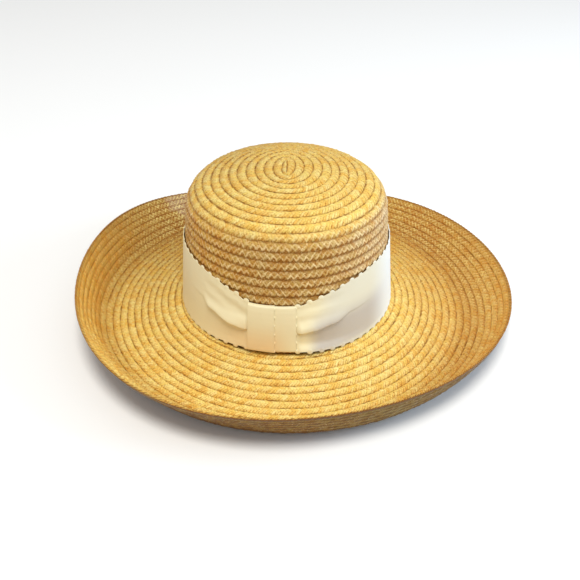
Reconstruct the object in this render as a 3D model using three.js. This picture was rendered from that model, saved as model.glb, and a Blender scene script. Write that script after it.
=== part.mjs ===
import * as THREE from 'three';

// A sewn straw hat with a round-shouldered crown, a wide brim turned up at its rim,
// and an ivory ribbon gathered into a flat knot.
// Millimetres, +Z up, the knot towards -Y. An angle phi round the oval is counted from +X towards +Y.

// Plan of the hat: every ring is the headline oval moved out or in by the same amount.
const headHalfWidth = 87;
const headHalfDepth = 99;

// Plaited straw, sewn in courses that lap like shingles
const strawWall = 1.6;
const lapStep = 0.9;
const crownCourse = { first: 4.75, pitch: 7.2 };
const brimCourse = { first: 4.8, pitch: 6.0 };

// Crown, from its centre down to the headline
const domeEdgeAngle = degrees(17);
const shoulderRadius = 22;
const wallTaper = degrees(4.2);
const wallHeight = 82.5;
const crownLean = degrees(2);

// Brim, from the headline out to the rim
const fallAngle = degrees(14.5);
const fallLength = 42;
const easeLength = 14;
const restLength = 6;
const turnAndRiseLength = 49;
const meanTurnLength = 23.5;
const meanRiseAngle = degrees(45.2);
const seamGap = 0.8;

// The rim stands up steeply at the front and on the left, and lies flatter at the back
// and on the right. It turns up sharply on the left and slowly on the right.
// Both are harmonics round the oval, as shares of the mean.
const riseWaves = [
  { order: 1, cosine: -0.10, sine: -0.45 },
  { order: 2, cosine: 0.28, sine: -0.10 },
  { order: 3, cosine: -0.10, sine: 0.08 },
];
const turnWaves = [
  { order: 1, cosine: 0.47, sine: -0.03 },
  { order: 2, cosine: 0.23, sine: -0.06 },
];

// Ribbon round the crown
const ribbonThickness = 1.0;
const ribbonGap = 0.5;
const knotAngle = degrees(-97);
const bandTable = [
  { turn: 0, bottom: 4.4, fold: 20.6, top: 41.4, standoff: 1.1, ridge: 0 },
  { turn: 13.5, bottom: 4.4, fold: 20.8, top: 41.5, standoff: 1.1, ridge: 0.2 },
  { turn: 20, bottom: 3.4, fold: 21.8, top: 46.5, standoff: 0.4, ridge: 2.0 },
  { turn: 29, bottom: 2.2, fold: 24.5, top: 51.0, standoff: 0, ridge: 1.7 },
  { turn: 42, bottom: 1.5, fold: 28.5, top: 55.0, standoff: 0, ridge: 0.8 },
  { turn: 58, bottom: 1.5, fold: 29.0, top: 57.0, standoff: 0, ridge: 0 },
  { turn: 180, bottom: 1.5, fold: 29.0, top: 57.0, standoff: 0, ridge: 0 },
];
const foldUndercut = 1.6;
const lowerBulge = 0.25;
const upperBulge = 0.35;

// Knot: the ribbon's end folded lengthwise and wrapped once round the gathered band
const knotHalfWidth = 17.7;
const frontLayerWidth = 19.6;
const pieceGap = 0.3;
const foldRadius = 0.8;
const frontWall = 2 * ribbonThickness;
const frontEndWall = 1.4 * ribbonThickness;
const foldWall = 1.5 * ribbonThickness;
const foldEndWall = 1.2 * ribbonThickness;

// How finely the shapes are divided: sides round the oval, rings along a stretch of the profile
const strawSides = 44;
const bandSides = 72;
const straightRings = 3;
const riseRings = 9;
const fallRings = 4;
const curveRings = 5;
const sleevePoints = 5;

function degrees(angle) {
  return THREE.MathUtils.degToRad(angle);
}

// Profile: a chain of runs, each with its length and its slope at both ends, level being zero

function crownRuns() {
  const wallReach = wallHeight * Math.tan(wallTaper);
  const shoulderReach = shoulderRadius * (Math.cos(wallTaper) - Math.sin(domeEdgeAngle));
  const domeRadius = (headHalfWidth - wallReach - shoulderReach) / Math.sin(domeEdgeAngle);
  const wallSlope = wallTaper - Math.PI / 2;
  return [
    { length: domeRadius * domeEdgeAngle, from: 0, to: -domeEdgeAngle },
    { length: shoulderRadius * (-wallSlope - domeEdgeAngle), from: -domeEdgeAngle, to: wallSlope },
    { length: wallHeight / Math.cos(wallTaper), from: wallSlope, to: wallSlope },
  ];
}

function waved(mean, waves, phi) {
  const shares = waves.map((w) => w.cosine * Math.cos(w.order * phi) + w.sine * Math.sin(w.order * phi));
  return mean * shares.reduce((sum, share) => sum + share, 1);
}

function brimRuns(phi) {
  const rise = waved(meanRiseAngle, riseWaves, phi);
  const turnLength = waved(meanTurnLength, turnWaves, phi);
  return [
    { length: fallLength, from: -fallAngle, to: -fallAngle },
    { length: easeLength, from: -fallAngle, to: 0 },
    { length: restLength, from: 0, to: 0 },
    { length: turnLength, from: 0, to: rise },
    { length: turnAndRiseLength - turnLength, from: rise, to: rise },
  ];
}

function totalLength(runs) {
  return runs.reduce((sum, run) => sum + run.length, 0);
}

// The place and slope at a distance along a chain of runs. A negative distance goes back past its start.
function walk(runs, distance) {
  let out = 0;
  let up = 0;
  let slope = runs[0].from;
  let left = distance;
  for (const [index, run] of runs.entries()) {
    const isLast = index === runs.length - 1;
    const step = isLast ? left : Math.min(left, run.length);
    const turn = ((run.to - run.from) * step) / run.length;
    slope = run.from + turn;
    if (Math.abs(turn) < 1e-9) {
      out += step * Math.cos(slope);
      up += step * Math.sin(slope);
    } else {
      const radius = step / turn;
      out += radius * (Math.sin(slope) - Math.sin(run.from));
      up += radius * (Math.cos(run.from) - Math.cos(slope));
    }
    left -= step;
    if (left <= 0) break;
  }
  return { out, up, slope };
}

const crownChain = crownRuns();
const crownLength = totalLength(crownChain);
const brimLength = totalLength(brimRuns(0));
const headlineHeight = strawWall - walk(brimRuns(0), fallLength + easeLength).up;
const crownHeight = headlineHeight - walk(crownChain, crownLength).up;

// A point on the oval plan, raised off the straw's face by a lift along the profile's normal.
// The crown leans back about the middle of its foot, and the brim takes up the lean before it rests.
const footMiddle = new THREE.Vector3(0, 0, headlineHeight);
const leanAxis = new THREE.Vector3(-1, 0, 0);

function place(phi, spot, start, lift, leanShare) {
  const out = start.out + spot.out - lift * Math.sin(spot.slope);
  const up = start.up + spot.up + lift * Math.cos(spot.slope);
  const upright = new THREE.Vector3(
    (headHalfWidth + out) * Math.cos(phi),
    (headHalfDepth + out) * Math.sin(phi),
    up,
  );
  return upright.sub(footMiddle).applyAxisAngle(leanAxis, crownLean * leanShare).add(footMiddle);
}

function crownPoint(phi, distance, lift) {
  return place(phi, walk(crownChain, distance), { out: -headHalfWidth, up: crownHeight }, lift, 1);
}

function brimPoint(phi, distance, lift) {
  const leanShare = 1 - THREE.MathUtils.smoothstep(distance, 0, fallLength + easeLength);
  return place(phi, walk(brimRuns(phi), distance), { out: 0, up: headlineHeight }, lift, leanShare);
}

// A point beside the crown's wall, at a height above the headline
function besideCrown(phi, height, lift) {
  return crownPoint(phi, crownLength - height / Math.cos(wallTaper), lift);
}

// Closed bodies from rings of points: each ring is joined to the next one.
// Without caps the last ring joins the first; with caps each end closes on its own middle point.
function bodyFromRings(rings, caps) {
  const sides = rings[0].length;
  const points = rings.flat();
  const faces = [];
  const at = (ring, side) => (ring % rings.length) * sides + (side % sides);
  const joins = caps ? rings.length - 1 : rings.length;
  for (let ring = 0; ring < joins; ring += 1) {
    for (let side = 0; side < sides; side += 1) {
      faces.push(at(ring, side), at(ring + 1, side), at(ring + 1, side + 1));
      faces.push(at(ring, side), at(ring + 1, side + 1), at(ring, side + 1));
    }
  }
  if (caps) {
    points.push(caps.first, caps.last);
    for (let side = 0; side < sides; side += 1) {
      faces.push(points.length - 2, at(0, side), at(0, side + 1));
      faces.push(points.length - 1, at(rings.length - 1, side + 1), at(rings.length - 1, side));
    }
  }
  const geometry = new THREE.BufferGeometry().setFromPoints(points);
  geometry.setIndex(faces);
  geometry.computeVertexNormals();
  return geometry;
}

function ringOf(sides, pointAt) {
  return Array.from({ length: sides }, (_, side) => pointAt((2 * Math.PI * side) / sides));
}

// The lapped face of the straw: each course rises to its outer edge and steps down to the next
function courseEdges(course, last) {
  const edges = [];
  for (let edge = course.first; edge < last - course.pitch / 2; edge += course.pitch) edges.push(edge);
  return edges;
}

function lappedRings(edges, last, pointAt) {
  const rings = [];
  for (const edge of edges) {
    rings.push(ringOf(strawSides, (phi) => pointAt(phi, edge, lapStep)));
    rings.push(ringOf(strawSides, (phi) => pointAt(phi, edge, 0)));
  }
  rings.push(ringOf(strawSides, (phi) => pointAt(phi, last, lapStep)));
  return rings;
}

function smoothRings(distances, pointAt) {
  return distances.map((distance) => ringOf(strawSides, (phi) => pointAt(phi, distance, -strawWall)));
}

function evenly(from, to, count) {
  return Array.from({ length: count }, (_, index) => from + ((to - from) * index) / (count - 1));
}

function makeCrown() {
  const foot = crownLength - seamGap;
  const [dome, shoulder] = crownChain;
  const shoulderStart = dome.length;
  const shoulderEnd = dome.length + shoulder.length;
  const inside = [
    ...evenly(foot, shoulderEnd, straightRings),
    ...evenly(shoulderEnd, shoulderStart, curveRings).slice(1),
    ...evenly(shoulderStart, crownCourse.first, fallRings).slice(1),
  ];
  const rings = [
    ...lappedRings(courseEdges(crownCourse, foot), foot, crownPoint),
    ...smoothRings(inside, crownPoint),
  ];
  return bodyFromRings(rings, { first: crownPoint(0, 0, lapStep), last: crownPoint(0, 0, -strawWall) });
}

function makeBrim() {
  const innerEdge = -strawWall;
  const restStart = fallLength + easeLength;
  const turnStart = restStart + restLength;
  const underside = [
    ...evenly(brimLength, turnStart, riseRings),
    ...evenly(restStart, fallLength, straightRings),
    ...evenly(fallLength, innerEdge, fallRings).slice(1),
  ];
  return bodyFromRings([
    ringOf(strawSides, (phi) => brimPoint(phi, innerEdge, 0)),
    ...lappedRings(courseEdges(brimCourse, brimLength), brimLength, brimPoint),
    ...smoothRings(underside, brimPoint),
  ]);
}

// The ribbon's heights, read between two rows of its table by the angle from the knot
function bandAt(phi) {
  const wrapped = THREE.MathUtils.euclideanModulo(phi - knotAngle + Math.PI, 2 * Math.PI) - Math.PI;
  const turn = THREE.MathUtils.radToDeg(Math.abs(wrapped));
  const next = Math.max(1, bandTable.findIndex((row) => row.turn >= turn));
  const [before, after] = [bandTable[next - 1], bandTable[next]];
  const share = THREE.MathUtils.smoothstep(turn, before.turn, after.turn);
  const columns = ['bottom', 'fold', 'top', 'standoff', 'ridge'];
  const read = (column) => THREE.MathUtils.lerp(before[column], after[column], share);
  return Object.fromEntries(columns.map((column) => [column, read(column)]));
}

// Rows of the ribbon from its bottom edge to its top edge: the cross fold stands proud above its line
function bandRow(phi, row) {
  const band = bandAt(phi);
  const rows = [
    { height: band.bottom, proud: 0 },
    { height: (band.bottom + band.fold) / 2, proud: band.ridge * lowerBulge },
    { height: band.fold - foldUndercut, proud: 0 },
    { height: band.fold, proud: band.ridge },
    { height: (band.fold + band.top) / 2, proud: band.ridge * upperBulge },
    { height: band.top, proud: 0 },
  ];
  return { height: rows[row].height, proud: rows[row].proud + band.standoff };
}

const bandLift = lapStep + ribbonGap;

function makeBand() {
  const rows = [0, 1, 2, 3, 4, 5];
  const ring = (row, thickness) => ringOf(bandSides, (phi) => {
    const { height, proud } = bandRow(phi, row);
    return besideCrown(phi, height, bandLift + proud + thickness);
  });
  const outside = [...rows].reverse().map((row) => ring(row, ribbonThickness));
  const inside = rows.map((row) => ring(row, 0));
  return bodyFromRings([...outside, ...inside]);
}

// The knot is a flat sleeve round the band. Its outline is a rectangle with cut corners,
// in lift from the crown and height above the headline, and it steps up where the front layer lies on it.
function makeKnot() {
  const band = bandAt(knotAngle);
  const hole = {
    near: bandLift + band.standoff - pieceGap,
    far: bandLift + band.standoff + ribbonThickness + pieceGap,
    low: band.bottom - pieceGap,
    high: band.top + pieceGap,
  };
  const outline = (nearWall, farWall, endWall, cut) => {
    const near = hole.near - nearWall;
    const far = hole.far + farWall;
    const low = hole.low - endWall;
    const high = hole.high + endWall;
    const side = (lift) => evenly(low + cut, high - cut, sleevePoints).map((height) => ({ lift, height }));
    return [
      ...side(far),
      { lift: far - cut, height: high },
      { lift: near + cut, height: high },
      ...side(near).reverse(),
      { lift: near + cut, height: low },
      { lift: far - cut, height: low },
    ];
  };
  const inner = outline(0, 0, 0, foldRadius / 2);
  const backLayer = outline(ribbonThickness, ribbonThickness, ribbonThickness, foldRadius);
  const foldLayer = outline(ribbonThickness, foldWall, foldEndWall, foldRadius);
  const frontLayer = outline(ribbonThickness, frontWall, frontEndWall, foldRadius);
  const left = -knotHalfWidth;
  const right = knotHalfWidth;
  const frontEdge = left + frontLayerWidth;
  const stations = [
    { along: left, loop: foldLayer },
    { along: left + foldRadius, loop: frontLayer },
    { along: (left + frontEdge) / 2, loop: frontLayer },
    { along: frontEdge, loop: frontLayer },
    { along: frontEdge, loop: backLayer },
    { along: (frontEdge + right) / 2, loop: backLayer },
    { along: right, loop: backLayer },
  ];
  const holeStations = evenly(right, left, curveRings).map((along) => ({ along, loop: inner }));
  const lengthPerTurn = Math.hypot(headHalfWidth * Math.sin(knotAngle), headHalfDepth * Math.cos(knotAngle));
  const rings = [...stations, ...holeStations].map(({ along, loop }) => (
    loop.map(({ lift, height }) => besideCrown(knotAngle + along / lengthPerTurn, height, lift))
  ));
  return bodyFromRings(rings);
}

// Materials, one for each piece
function straw(color) {
  return new THREE.MeshStandardMaterial({ color, roughness: 0.55, metalness: 0 });
}

function ribbon(color) {
  return new THREE.MeshStandardMaterial({ color, roughness: 0.7, metalness: 0 });
}

function addPiece(parent, name, geometry, material) {
  const mesh = new THREE.Mesh(geometry, material);
  mesh.name = name;
  parent.add(mesh);
}

// The hat stands on its brim, with its origin under the middle of its outline
const hat = new THREE.Group();
addPiece(hat, 'crown', makeCrown(), straw(0xd9b062));
addPiece(hat, 'brim', makeBrim(), straw(0xd2a352));
addPiece(hat, 'band', makeBand(), ribbon(0xe9e4d4));
addPiece(hat, 'knot', makeKnot(), ribbon(0xe6dcc0));
const outline = new THREE.Box3().setFromObject(hat, true);
const middle = outline.getCenter(new THREE.Vector3());
hat.position.set(-middle.x, -middle.y, -outline.min.z);
hat.updateMatrixWorld(true);

export default hat;
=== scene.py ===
# %% [markdown]
# # A sewn straw hat
#
# This notebook dresses a straw hat for its picture. The hat is one long plait of straw, sewn
# round and round on its own edge, with an ivory ribbon gathered into a flat knot. The packed
# frame holds its plain shapes and its place. The straw, the ribbon and the light are made here.

# %% Load the frame
import math
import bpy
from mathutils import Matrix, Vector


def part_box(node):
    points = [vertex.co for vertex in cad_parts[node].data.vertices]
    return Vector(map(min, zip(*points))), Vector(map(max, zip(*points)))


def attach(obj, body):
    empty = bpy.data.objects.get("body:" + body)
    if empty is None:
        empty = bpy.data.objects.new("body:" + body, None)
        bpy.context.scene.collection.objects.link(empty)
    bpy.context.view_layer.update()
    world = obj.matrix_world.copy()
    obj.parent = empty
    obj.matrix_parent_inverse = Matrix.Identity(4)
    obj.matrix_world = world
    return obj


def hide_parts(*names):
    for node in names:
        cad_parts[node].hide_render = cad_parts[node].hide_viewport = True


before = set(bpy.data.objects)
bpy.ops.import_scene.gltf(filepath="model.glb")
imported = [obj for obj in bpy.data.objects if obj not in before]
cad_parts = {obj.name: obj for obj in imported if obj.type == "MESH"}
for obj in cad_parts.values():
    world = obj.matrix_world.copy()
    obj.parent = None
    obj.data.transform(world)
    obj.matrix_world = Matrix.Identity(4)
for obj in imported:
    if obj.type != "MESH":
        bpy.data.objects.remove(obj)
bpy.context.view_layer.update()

from types import SimpleNamespace

import bpy
import numpy as np

MM = 0.001
print("frame pieces:", sorted(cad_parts))

# %% [markdown]
# ## The shape under the straw
#
# A milliner shapes a hat over a block. Every ring of the crown is the oval of the head opening,
# moved in by the same amount all round, so one profile and one oval describe it. The brim moves
# the same oval outwards, and only its turn and rise change on the way round. A profile could be
# a drawn curve, but a chain of short runs, each with a length and a slope at both ends, is easier
# to measure on a hat and gives an exact place and slope for every stitch.

# %% Sizes of the block
HEAD_HALF_WIDTH = 87 * MM
HEAD_HALF_DEPTH = 99 * MM
STRAW_WALL = 1.6 * MM
LAP_STEP = 0.9 * MM

DOME_EDGE_ANGLE = math.radians(17)
SHOULDER_RADIUS = 22 * MM
WALL_TAPER = math.radians(4.2)
WALL_HEIGHT = 82.5 * MM
CROWN_LEAN = math.radians(2)

FALL_ANGLE = math.radians(14.5)
FALL_LENGTH = 42 * MM
EASE_LENGTH = 14 * MM
REST_LENGTH = 6 * MM
TURN_AND_RISE_LENGTH = 49 * MM
MEAN_TURN_LENGTH = 23.5 * MM
MEAN_RISE_ANGLE = math.radians(45.2)
RISE_WAVES = ((1, -0.10, -0.45), (2, 0.28, -0.10), (3, -0.10, 0.08))
TURN_WAVES = ((1, 0.47, -0.03), (2, 0.23, -0.06))
SEAM_GAP = 0.8 * MM


def walk(runs, distance):
    """The place and slope at a distance along a chain of (length, slope at start, slope at end)."""
    left = np.array(distance, dtype=float)
    out = np.zeros_like(left)
    up = np.zeros_like(left)
    slope = np.zeros_like(left) + runs[0][1]
    for index, (length, start, end) in enumerate(runs):
        step = left if index == len(runs) - 1 else np.minimum(left, length)
        if index:
            step = np.maximum(step, 0)
        turn = (end - start) * step / length
        chord = step * np.sinc(turn / (2 * np.pi))
        out = out + chord * np.cos(start + turn / 2)
        up = up + chord * np.sin(start + turn / 2)
        slope = np.where((left > 0) | (index == 0), start + turn, slope)
        left = left - step
    return out, up, slope


def crown_runs():
    wall_reach = WALL_HEIGHT * math.tan(WALL_TAPER)
    shoulder_reach = SHOULDER_RADIUS * (math.cos(WALL_TAPER) - math.sin(DOME_EDGE_ANGLE))
    dome_radius = (HEAD_HALF_WIDTH - wall_reach - shoulder_reach) / math.sin(DOME_EDGE_ANGLE)
    wall_slope = WALL_TAPER - math.pi / 2
    return [
        (dome_radius * DOME_EDGE_ANGLE, 0.0, -DOME_EDGE_ANGLE),
        (SHOULDER_RADIUS * (-wall_slope - DOME_EDGE_ANGLE), -DOME_EDGE_ANGLE, wall_slope),
        (WALL_HEIGHT / math.cos(WALL_TAPER), wall_slope, wall_slope),
    ]


def waved(mean, waves, phi):
    return mean * (1 + sum(c * np.cos(order * phi) + s * np.sin(order * phi) for order, c, s in waves))


def brim_runs(phi):
    rise = waved(MEAN_RISE_ANGLE, RISE_WAVES, phi)
    turn_length = waved(MEAN_TURN_LENGTH, TURN_WAVES, phi)
    return [
        (FALL_LENGTH, -FALL_ANGLE, -FALL_ANGLE),
        (EASE_LENGTH, -FALL_ANGLE, 0.0),
        (REST_LENGTH, 0.0, 0.0),
        (turn_length, 0.0, rise),
        (TURN_AND_RISE_LENGTH - turn_length, rise, rise),
    ]


CROWN_RUNS = crown_runs()
CROWN_LENGTH = sum(run[0] for run in CROWN_RUNS)
BRIM_LENGTH = sum(run[0] for run in brim_runs(0.0))
HEADLINE = STRAW_WALL - float(walk(brim_runs(0.0), FALL_LENGTH + EASE_LENGTH)[1])
CROWN_TOP = HEADLINE - float(walk(CROWN_RUNS, CROWN_LENGTH)[1])
print(f"headline {HEADLINE / MM:.1f} mm up, crown top {CROWN_TOP / MM:.1f} mm")

# %% [markdown]
# ## Where the hat stands
#
# The frame's origin is under the middle of the whole hat, and the profile's is under the middle
# of the head opening. The rim's own outline, measured here and in the frame, gives the shift
# between the two, so nothing is placed by eye.


# %% Points on the crown and on the brim
def smoothstep(value, low, high):
    share = np.clip((value - low) / (high - low), 0, 1)
    return share * share * (3 - 2 * share)


def place(phi, spot, start, lift, lean_share):
    """A point on the oval plan, lifted off the straw's face, with the crown's lean back."""
    out, up, slope = spot
    reach = start[0] + out - lift * np.sin(slope)
    height = start[1] + up + lift * np.cos(slope) - HEADLINE
    x = (HEAD_HALF_WIDTH + reach) * np.cos(phi)
    y = (HEAD_HALF_DEPTH + reach) * np.sin(phi)
    lean = CROWN_LEAN * lean_share
    depth = y * np.cos(lean) + height * np.sin(lean)
    tall = height * np.cos(lean) - y * np.sin(lean) + HEADLINE
    return np.stack(np.broadcast_arrays(x, depth, tall), axis=-1)


def crown_at(phi, distance, lift):
    return place(phi, walk(CROWN_RUNS, distance), (-HEAD_HALF_WIDTH, CROWN_TOP), lift, 1.0)


def brim_at(phi, distance, lift):
    lean_share = 1 - smoothstep(distance, 0, FALL_LENGTH + EASE_LENGTH)
    return place(phi, walk(brim_runs(phi), distance), (0.0, HEADLINE), lift, lean_share)


RIM_STATIONS = 44
rim_phi = np.arange(RIM_STATIONS) * 2 * np.pi / RIM_STATIONS
rim_reach = np.full(RIM_STATIONS, BRIM_LENGTH)
rim = np.concatenate([brim_at(rim_phi, rim_reach, lift) for lift in (LAP_STEP, -STRAW_WALL)])
brim_low, brim_high = (np.array(corner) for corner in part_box("brim"))
SHIFT = (brim_low + brim_high) / 2 - (rim.min(axis=0) + rim.max(axis=0)) / 2
SHIFT[2] = 0
print("shift to the frame, mm:", np.round(SHIFT / MM, 2))


def crown_point(phi, distance, lift):
    return crown_at(phi, distance, lift) + SHIFT


def brim_point(phi, distance, lift):
    return brim_at(phi, distance, lift) + SHIFT


def beside_crown(phi, height, lift):
    """A point beside the crown's wall, at a height above the headline."""
    return crown_point(phi, CROWN_LENGTH - height / math.cos(WALL_TAPER), lift)

# %% [markdown]
# ## A camera for the picture
#
# The picture looks down on the front of the hat from about a third of the way up. A camera close
# to the hat makes the near brim wide and the far brim small, so its distance matters as much as
# its angle. Both were fitted to the picture, and the lens is the one that frames the hat from there.

# %% Camera
CAMERA_TARGET = SHIFT + np.array([2.76, -1.99, 12.16]) * MM
CAMERA_DISTANCE = 700 * MM
CAMERA_ELEVATION = math.radians(33.19)
CAMERA_LENS = 50.13
SENSOR_WIDTH = 36.0
CAMERA_NEAR = 10 * MM

camera_data = bpy.data.cameras.new("picture_camera")
camera_data.lens = CAMERA_LENS
camera_data.sensor_width = SENSOR_WIDTH
camera_data.clip_start = CAMERA_NEAR
camera = bpy.data.objects.new("picture_camera", camera_data)
bpy.context.scene.collection.objects.link(camera)
camera.location = CAMERA_TARGET + CAMERA_DISTANCE * np.array(
    [0, -math.cos(CAMERA_ELEVATION), math.sin(CAMERA_ELEVATION)])
camera.rotation_euler = (math.pi / 2 - CAMERA_ELEVATION, 0, 0)
bpy.context.scene.camera = camera
print("camera at", [round(value, 3) for value in camera.location])

# %% [markdown]
# ## Writing sums into node trees
#
# Materials and Geometry Nodes both do their sums with Math nodes, and a long sum becomes a thicket
# of them. This small class wraps a socket, so that an expression such as `1 - mask * 0.5` adds its
# own nodes. Everything that isn't a sum goes through one method, which takes a node's type, its
# settings, and the values or links of its sockets.


# %% Sums
class Num:
    """A value on its way through a node tree. Sums on it add Math nodes."""

    def __init__(self, bench, socket):
        self.bench = bench
        self.socket = socket

    def sum(self, operation, *others, first=None):
        values = [self if first is None else first, *others]
        node = self.bench.node("ShaderNodeMath", {"operation": operation}, dict(enumerate(values)))
        return Num(self.bench, node.outputs[0])

    def __add__(self, other):
        return self.sum("ADD", other)

    def __mul__(self, other):
        return self.sum("MULTIPLY", other)

    def __sub__(self, other):
        return self.sum("SUBTRACT", other)

    def __rsub__(self, other):
        return self.sum("SUBTRACT", self, first=other)

    def __truediv__(self, other):
        return self.sum("DIVIDE", other)

    def __abs__(self):
        return self.sum("ABSOLUTE")

    __radd__ = __add__
    __rmul__ = __mul__

    def fract(self):
        return self.sum("FRACT")

    def floor(self):
        return self.sum("FLOOR")

    def sine(self):
        return self.sum("SINE")

    def at_least(self, other):
        return self.sum("MAXIMUM", other)

    def at_most(self, other):
        return self.sum("MINIMUM", other)

    def zigzag(self):
        """Rises from 0 to 1 and falls back once for each whole step."""
        return 1 - abs(self.fract() * 2 - 1)

    def step(self, low, high):
        """0 below low, 1 above high, and smooth between them."""
        node = self.bench.node(
            "ShaderNodeMapRange", {"interpolation_type": "SMOOTHSTEP"},
            {"Value": self, "From Min": low, "From Max": high})
        return Num(self.bench, node.outputs[0])

    def bump(self, low, peak_low, peak_high, high):
        """Rises from low to peak_low, stays, and falls from peak_high to high."""
        return self.step(low, peak_low) * (1 - self.step(peak_high, high))


# %% Nodes and their links
class Bench:
    """Adds nodes to a tree."""

    def __init__(self, tree):
        self.tree = tree

    def node(self, kind, settings=None, sockets=None):
        node = self.tree.nodes.new(kind)
        for name, value in (settings or {}).items():
            setattr(node, name, value)
        for key, value in (sockets or {}).items():
            socket = node.inputs[key]
            if isinstance(value, Num):
                value = value.socket
            if isinstance(value, bpy.types.NodeSocket):
                self.tree.links.new(value, socket)
            else:
                socket.default_value = value
        return node

    def out(self, kind, settings=None, sockets=None, output=0):
        return Num(self, self.node(kind, settings, sockets).outputs[output])

    def mix(self, share, first, second, blend="MIX"):
        """Two colours blended by a share."""
        settings = {"data_type": "RGBA", "blend_type": blend, "clamp_result": False}
        first, second = ((*c, 1.0) if isinstance(c, tuple) else c for c in (first, second))
        return self.out("ShaderNodeMix", settings, {0: share, 6: first, 7: second}, output=2)

    def noise(self, scale, detail, vector=None, w=None, roughness=0.5):
        """Smooth noise from 0 to 1, on a vector or along one number."""
        dimensions, place_in = ("1D", {"W": w}) if vector is None else ("3D", {"Vector": vector})
        sockets = {"Scale": scale, "Detail": detail, "Roughness": roughness, **place_in}
        return self.out("ShaderNodeTexNoise", {"noise_dimensions": dimensions}, sockets)

    def join(self, x, y, z):
        return self.out("ShaderNodeCombineXYZ", {}, {0: x, 1: y, 2: z})


def linear(red, green, blue):
    """A colour picked as 0 to 255 on screen, as the light it stands for."""
    def channel(value):
        share = value / 255
        return share / 12.92 if share <= 0.04045 else ((share + 0.055) / 1.055) ** 2.4
    return tuple(channel(value) for value in (red, green, blue))

# %% [markdown]
# ## The straw plait as one long strip
#
# The real hat is a single plait about 8 mm wide. It starts in the middle of the crown and winds
# outwards, each turn sewn under the edge of the turn before it, so that the turns lap like
# shingles. Rings of separate hoops would be simpler, but a spiral is what the sewing makes, and it
# gives every place on the hat its own length along the plait, which the finish needs later. The
# crown and the brim are wound one after the other here, because their turns lie at different
# distances, and they meet under the ribbon.
#
# The strip is a grid: stations along the plait, and rows from edge to edge. Each station is bent in
# a chevron, because the straws of a plait run diagonally to its middle and back.

# %% Sizes of the plait
OVERLAP = 1.6 * MM
TUCKED_LIFT = -0.4 * MM
EDGE_LIFT = 0.55 * MM
PLUMPNESS = 0.7 * MM
EDGE_ROUND = 0.35 * MM
TUCKED_SHARE = 0.2
STATIONS_PER_PLAIT = 4
TOP_ROWS = (0.0, 0.22, 0.42, 0.6, 0.78, 0.93, 1.0)
UNDER_ROWS = (1.0, 0.5, 0.0)
CHEVRON_PEAK = 0.56
CHEVRON_SLANT = 0.9
FRONT = -math.pi / 2
FINE_TURN = 1 / 720


def chevron(across):
    """How far the straws have run along the plait, in plait lengths, at a place across it."""
    return CHEVRON_SLANT * (1 - np.abs(across - CHEVRON_PEAK) / CHEVRON_PEAK)


def strip_edges(turns, course):
    outer = course["first"] + course["pitch"] * turns
    inner = outer - course["pitch"] - OVERLAP
    return np.clip([inner, outer], course["start"], course["end"])


def row_lift(across, is_top):
    """A course is tucked in at its inner edge, rests on the next at its outer one, and is plump between."""
    if not is_top:
        return -STRAW_WALL + (TUCKED_LIFT + STRAW_WALL) * across
    visible = np.clip((across - TUCKED_SHARE) / (1 - TUCKED_SHARE), 0, 1)
    plump = PLUMPNESS * 4 * visible * (1 - visible)
    rounded = EDGE_ROUND * smoothstep(across, 0.8, 1.0)
    return TUCKED_LIFT + (EDGE_LIFT - TUCKED_LIFT) * across + plump - rounded


# %% Wind the strip
def wind(name, point, course, turns_range, parts):
    """Winds the spiral and cuts it into pieces of plait, each a closed mesh with its own measures."""
    fine = np.arange(*turns_range, FINE_TURN)
    inner, outer = strip_edges(fine, course)
    middle = point(FRONT + 2 * np.pi * fine, (inner + outer) / 2, 0 * fine)
    steps = np.linalg.norm(np.diff(middle, axis=0), axis=1)
    length = np.concatenate([[0], np.cumsum(steps)])
    plait = course["plait"]
    count = int(length[-1] / plait * STATIONS_PER_PLAIT)
    strand = np.arange(count) / STATIONS_PER_PLAIT
    rows = [(across, 1.0) for across in TOP_ROWS] + [(across, 0.0) for across in UNDER_ROWS]

    columns = []
    for across, is_top in rows:
        along = np.clip((strand + chevron(across)) * plait, 0, length[-1])
        turns = np.interp(along, length, fine)
        inner, outer = strip_edges(turns, course)
        distance = inner + (outer - inner) * across
        lift = row_lift(across, is_top)
        phi = FRONT + 2 * np.pi * turns
        here = point(phi, distance, lift)
        above = point(phi, distance, lift + MM) - here
        beyond = point(phi, distance + MM, lift) - here
        columns.append((here, above / MM, beyond / MM, distance * course["on_brim"]))
    arrays = [np.stack(part, axis=1) for part in zip(*columns)]

    cuts = np.linspace(0, count - 1, len(parts) + 1).astype(int)
    pieces = []
    for part, first, last in zip(parts, cuts[:-1], cuts[1:]):
        keep = slice(first, last + 1)
        pieces.append(strip_mesh(part, rows, strand[keep], *(array[keep] for array in arrays)))
    print(f"{name}: {length[-1]:.1f} m of plait in {len(parts)} piece(s)")
    return pieces


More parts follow.
